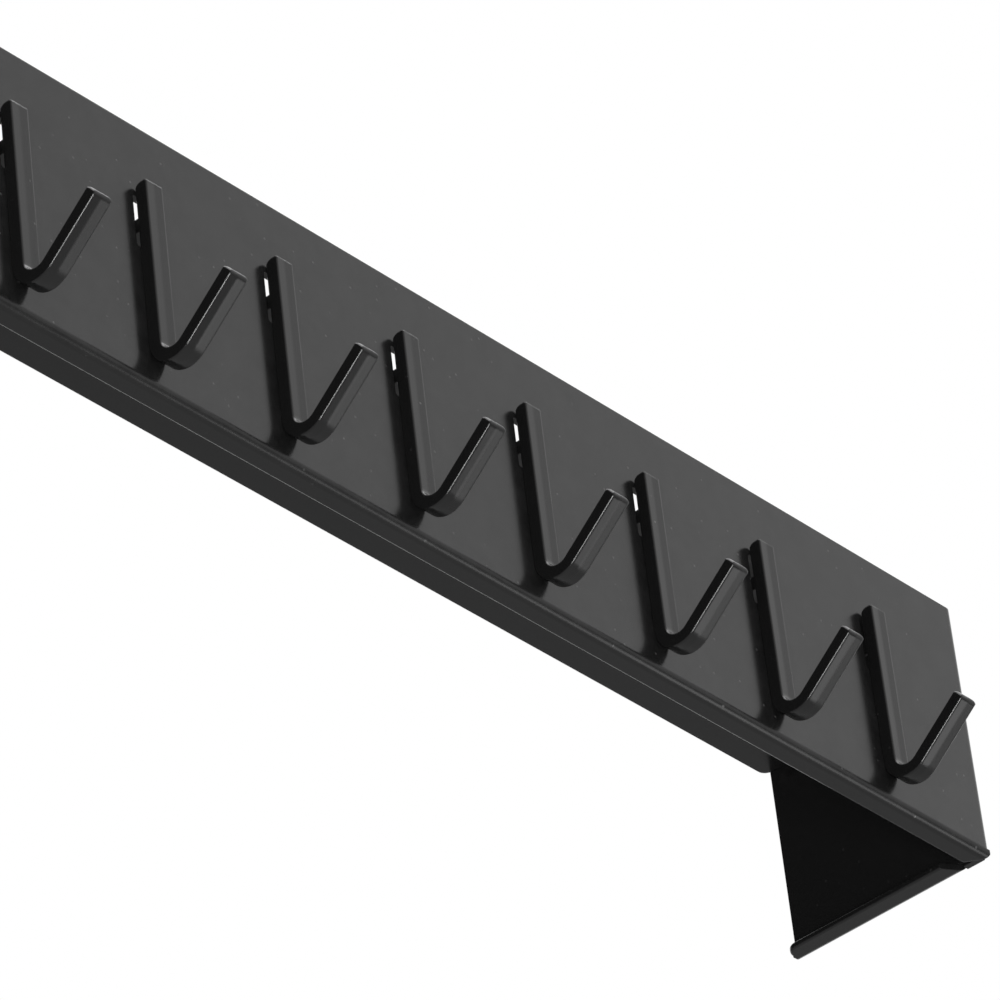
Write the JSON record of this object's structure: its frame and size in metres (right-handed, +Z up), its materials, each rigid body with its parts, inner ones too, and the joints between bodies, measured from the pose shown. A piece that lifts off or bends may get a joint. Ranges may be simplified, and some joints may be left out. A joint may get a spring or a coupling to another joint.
{
  "type": "utensil hanging rack",
  "caption": "Kitchen rack of folded black sheet steel with a deck behind the front panel and a row of upturned bar hooks for hanging utensils.",
  "frame": {"origin": "middle of the base area: half way along the rack, half way from the hook tips to the back edges, level with the underside of the flanges", "axes": "+X along the rack, +Y back towards the wall, +Z up; the hooks are at the front, -Y"},
  "size_m": [0.5048, 0.0948, 0.081],
  "materials": {
    "body_coat": "satin powder coat, anthracite",
    "deck_coat": "satin powder coat, anthracite",
    "hook_coat": "satin powder coat, black"
  },
  "bodies": {
    "root": {"folded_body": "body_coat", "deck_plate": "deck_coat", "hook_01": "hook_coat", "hook_02": "hook_coat", "hook_03": "hook_coat", "hook_04": "hook_coat", "hook_05": "hook_coat", "hook_06": "hook_coat", "hook_07": "hook_coat", "hook_08": "hook_coat", "hook_09": "hook_coat", "hook_10": "hook_coat"}
  },
  "joints": []
}
